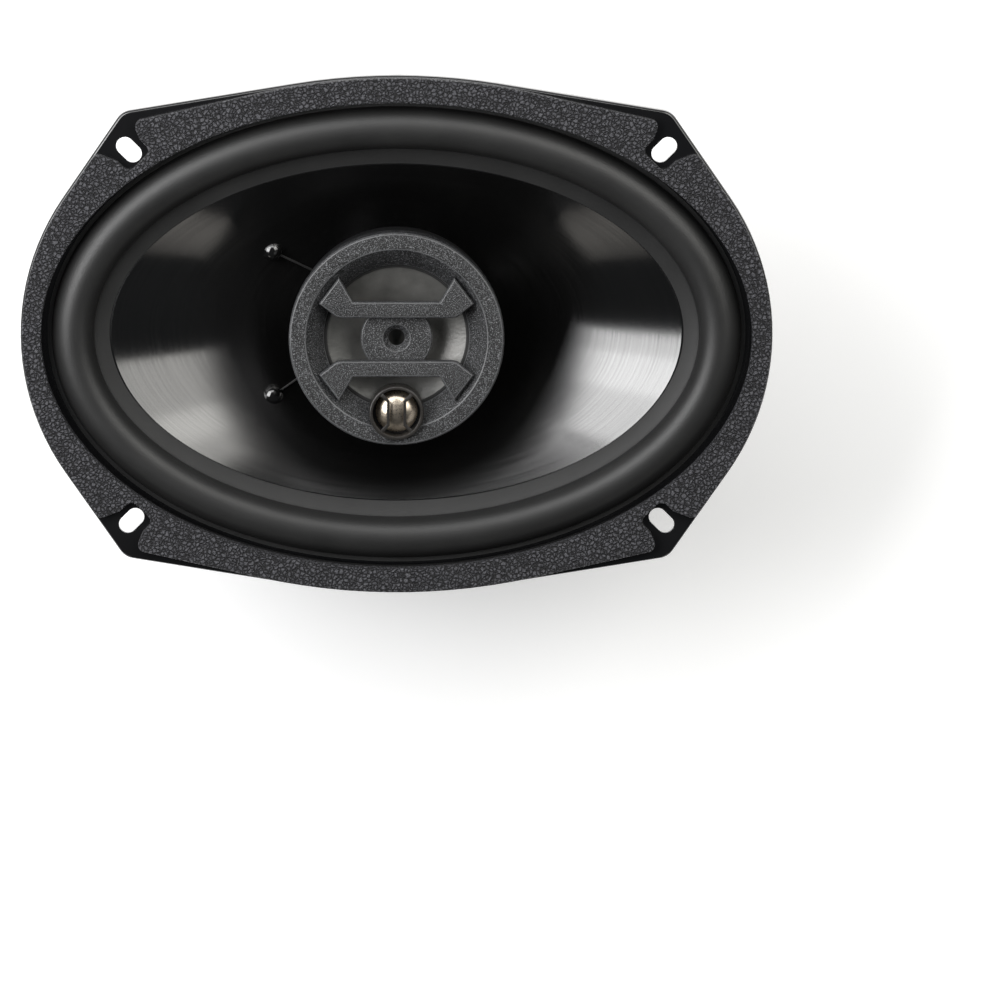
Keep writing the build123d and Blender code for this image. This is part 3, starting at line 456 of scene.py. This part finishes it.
# --- Pieces ---------------------------------------------------------------------------------
def make_woofer_cone():
    """Straight lines from a circle at the neck to an ellipse at the edge, each at the same angle.

    The outline is a list of (semi-axis along X, semi-axis along Y, height): up the face, out
    along the flat ring under the surround, down its edge, in under it and back to the neck."""
    face = np.linspace(0, 1, 40)[:, None]
    neck_front, neck_back = np.array([*CONE_NECK, CONE_NECK_Z]), np.array([*CONE_NECK, CONE_NECK_BACK_Z])
    edge_front, edge_back = np.array([*CONE_EDGE, CONE_TOP]), np.array([*CONE_BACK_EDGE, CONE_RING_BOTTOM])
    front = neck_front * (1 - face) + edge_front * face
    back = edge_back * (1 - face) + neck_back * face
    ring = [(*CONE_RING, CONE_TOP), (*CONE_RING, CONE_RING_BOTTOM)]
    neck = [(FORMER_R, FORMER_R, CONE_NECK_BACK_Z), (FORMER_R, FORMER_R, CONE_NECK_Z)]
    outline = np.concatenate([front, ring, back, neck])
    cone = grid_piece("woofer_cone_skin", turned(outline, CONE_TURN), "cone_film")
    cone.data.set_sharp_from_angle(angle=CONE_CREASE)
    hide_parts("woofer_cone")
    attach(cone, WOOFER)


def make_surround():
    """A half roll, round in section, with a dished inner flat and a flat outer flange."""
    low, high = CONE_TOP, CONE_TOP + SKIN
    hollow = ROLL_R - SKIN
    over = np.linspace(np.pi, 0, ROLL_STEPS)
    bend_in, bend_up = RING_BEND
    rim = [(-SURROUND_INNER, low), (-SURROUND_INNER, high - RING_DISH),
           (-SURROUND_INNER + bend_in, high - RING_DISH + bend_up)]
    inner_foot = [(-ROLL_R - inward, high + up) for inward, up in RING_FOOT]
    roll = np.stack([ROLL_R * np.cos(over), high + ROLL_R * np.sin(over)], axis=-1)[1:-1]
    outer_foot = [(ROLL_R + outward, high + up) for outward, up in FLANGE_FOOT]
    flange = [(SURROUND_OUTER, high), (SURROUND_OUTER, low)]
    under = np.stack([hollow * np.cos(over[::-1]), low + hollow * np.sin(over[::-1])], axis=-1)
    outline = np.concatenate([rim, inner_foot, roll, outer_foot, flange, under])
    surround = grid_piece("surround_roll", carried(PATH, outline, CONE_TURN), "surround_rubber")
    surround.data.set_sharp_from_angle(angle=ROLL_CREASE)
    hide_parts("surround")
    bend_between(surround, lambda places: (ROLL_R - oval_offset(places)) / (2 * ROLL_R))


def make_spider():
    """A corrugated disc: its height is half a wave's height times (1 - cos) of the radius."""
    radius = np.linspace(SPIDER_START, SPIDER_FLAT, 121)
    turns = 2 * np.pi * SPIDER_WAVES * (radius - SPIDER_START) / (SPIDER_FLAT - SPIDER_START)
    wave = SPIDER_Z + SPIDER_WAVE * (1 - np.cos(turns)) / 2
    radius = np.concatenate([[SPIDER_INNER], radius, [SPIDER_OUTER]])
    wave = np.concatenate([[SPIDER_Z], wave, [SPIDER_Z]])
    top = np.stack([radius, radius, wave + SPIDER_SKIN], axis=-1)
    outline = np.concatenate([top, top[::-1] - (0, 0, SPIDER_SKIN)])
    spider = grid_piece("spider_disc", turned(outline, SPIDER_TURN), "spider_cloth")
    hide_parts("spider")
    bend_between(spider,
                 lambda places: (SPIDER_FLAT - radius_of(places)) / (SPIDER_FLAT - SPIDER_START))


def make_midrange_edge():
    """The midrange's thin edge: a flat band whose middle swells up as half a sine wave."""
    inner, outer, bottom, thick = MID_EDGE
    share = np.linspace(0, 1, 25)
    radius = inner + share * (outer - inner)
    top = np.stack([radius, radius, bottom + thick / 2 + thick / 2 * np.sin(np.pi * share)], axis=-1)
    under = top[::-1].copy()
    under[:, 2] = bottom
    edge = grid_piece("midrange_edge", turned(np.concatenate([top, under]), MID_TURN), "surround_rubber")
    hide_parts("midrange_surround")
    bends = outer - inner - MID_STILL - MID_CARRIED
    bend_between(edge, lambda places: (outer - MID_STILL - radius_of(places)) / bends)


def make_tweeter_dome():
    """A shallow metal dome with a thin skin: its height falls as (1 - (r/R)^2) to the power 0.8."""
    radius, base, rise, skin = TWEETER_DOME
    share = np.sin(np.linspace(0, np.pi / 2, 33))
    height = base + rise * (1 - share ** 2) ** DOME_POWER
    top = np.stack([radius * share, radius * share, height], axis=-1)
    points = turned(np.concatenate([top, top[::-1] - (0, 0, skin)]), DOME_TURN) + (0, TWEETER_Y, 0)
    dome = grid_piece("tweeter_dome", points, "titanium", closed=(True, False))
    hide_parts("super_tweeter_dome")
    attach(dome, TWEETER)


def curve_points(name, route):
    """Evenly read points of a smooth spline that a route's points control."""
    data = bpy.data.curves.new(name, "CURVE")
    data.dimensions = "3D"
    data.resolution_u = 16
    spline = data.splines.new("NURBS")
    spline.points.add(len(route) - 1)
    spline.points.foreach_set("co", np.column_stack([route, np.ones(len(route))]).ravel())
    spline.order_u = 3
    spline.use_endpoint_u = True
    holder = bpy.data.objects.new(name, data)
    line = bpy.data.meshes.new_from_object(holder)
    points = np.empty(len(line.vertices) * 3)
    line.vertices.foreach_get("co", points)
    bpy.data.objects.remove(holder)
    bpy.data.meshes.remove(line)
    return points.reshape(-1, 3)


def tube(name, route, radius, finish):
    """A round tube: each point of the line plus the radius times a turning pair of side directions.

    The first of the pair is the cross product of the run with a fixed direction near Y, and the
    second is that of the first with the run. The ends close to a point, so they are shut."""
    line = curve_points(name, route)
    run = np.gradient(line, axis=0)
    run /= np.linalg.norm(run, axis=1, keepdims=True)
    side = np.cross(run, TUBE_SIDE)
    side /= np.linalg.norm(side, axis=1, keepdims=True)
    up = np.cross(side, run)
    turn = loop(LEAD_TURN).T[..., None]
    ring = radius * (np.cos(turn) * side[:, None] + np.sin(turn) * up[:, None])
    points = line[:, None] + ring
    ends = np.broadcast_to(line[[0, -1], None], (2, LEAD_TURN, 3))
    points = np.concatenate([ends[:1], points, ends[1:]])
    return grid_piece(name, points, finish, closed=(False, True))


def make_tinsel_leads():
    """Two braided leads that hang from the terminal board to the back of the cone."""
    start, end = LEAD_ROUTE[2][0], LEAD_ROUTE[-2][0]
    for side, name in ((1, "tinsel_lead_upper"), (-1, "tinsel_lead_lower")):
        route = np.array(LEAD_ROUTE) * (1, side, 1)
        lead = tube(name, route, LEAD_R, "braid")
        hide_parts("tinsel_leads")
        bend_between(lead, lambda places: (places[:, 0] - start) / (end - start))


def softened(name, source, width, finish=None):
    """A copy of a moulded part with its facets merged and its edges rounded over.

    Without a finish of its own it takes its slot's, and its rounded edges get a lighter finish as a painted
    highlight."""
    slot = next(part["material_slot"] for part in frame["record"]["subparts"] if part["node"] == source)
    mesh = bpy.data.meshes.new(name)
    shape = bmesh.new()
    shape.from_mesh(NODES[source].data)
    bmesh.ops.remove_doubles(shape, verts=shape.verts, dist=WELD)
    bmesh.ops.dissolve_limit(shape, angle_limit=FLAT_ANGLE, verts=shape.verts, edges=shape.edges)
    shape.to_mesh(mesh)
    shape.free()
    mesh.polygons.foreach_set("use_smooth", np.ones(len(mesh.polygons), bool))
    mesh.materials.clear()
    mesh.materials.append(finish or MATERIALS[slot])
    piece = bpy.data.objects.new(name, mesh)
    bpy.context.scene.collection.objects.link(piece)
    bevel = piece.modifiers.new("edge", "BEVEL")
    bevel.width, bevel.segments, bevel.limit_method = width * MM, 3, "ANGLE"
    bevel.angle_limit, bevel.harden_normals = EDGE_ANGLE, True
    # The rounded edges get the lighter finish, a painted highlight.
    if not finish:
        mesh.materials.append(PAINTED_EDGE_HIGHLIGHT)
        bevel.material = 1
    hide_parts(source)
    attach(piece, CHASSIS)


def dress_cad_nodes():
    """Each CAD node takes the finish of its own material slot."""
    for part in frame["record"]["subparts"]:
        slots = NODES[part["node"]].data.materials
        slots.clear()
        slots.append(MATERIALS[part["material_slot"]])


def make_floor():
    """A pale square floor just under the magnet."""
    low, half = cad_box[0].z - FLOOR_DROP, FLOOR_HALF
    mesh = bpy.data.meshes.new("floor")
    corners = [(-half, -half, low), (half, -half, low), (half, half, low), (-half, half, low)]
    mesh.from_pydata(corners, [], [(0, 1, 2, 3)])
    made, _, shader = new_material("pale_floor", (0.9, 0.9, 0.9), 0.9)
    shader.inputs["Emission Color"].default_value = (1.0, 1.0, 1.0, 1.0)
    shader.inputs["Emission Strength"].default_value = FLOOR_GLOW
    mesh.materials.append(made)
    floor = bpy.data.objects.new("floor", mesh)
    bpy.context.scene.collection.objects.link(floor)


make_camera()
make_lights()
make_floor()
dress_cad_nodes()
make_woofer_cone()
make_surround()
make_spider()
make_midrange_edge()
make_tweeter_dome()
make_tinsel_leads()
softened("pod_ring", "pod_bezel", 0.22)
softened("bar_upper", "bridge_bar_upper", 0.17)
softened("bar_lower", "bridge_bar_lower", 0.17)
softened("hub", "pod_hub", 0.15)
softened("tweeter_cup", "super_tweeter_housing", 0.12, TWEETER_TRIM)
softened("tweeter_bars", "super_tweeter_guard", 0.12, TWEETER_TRIM)
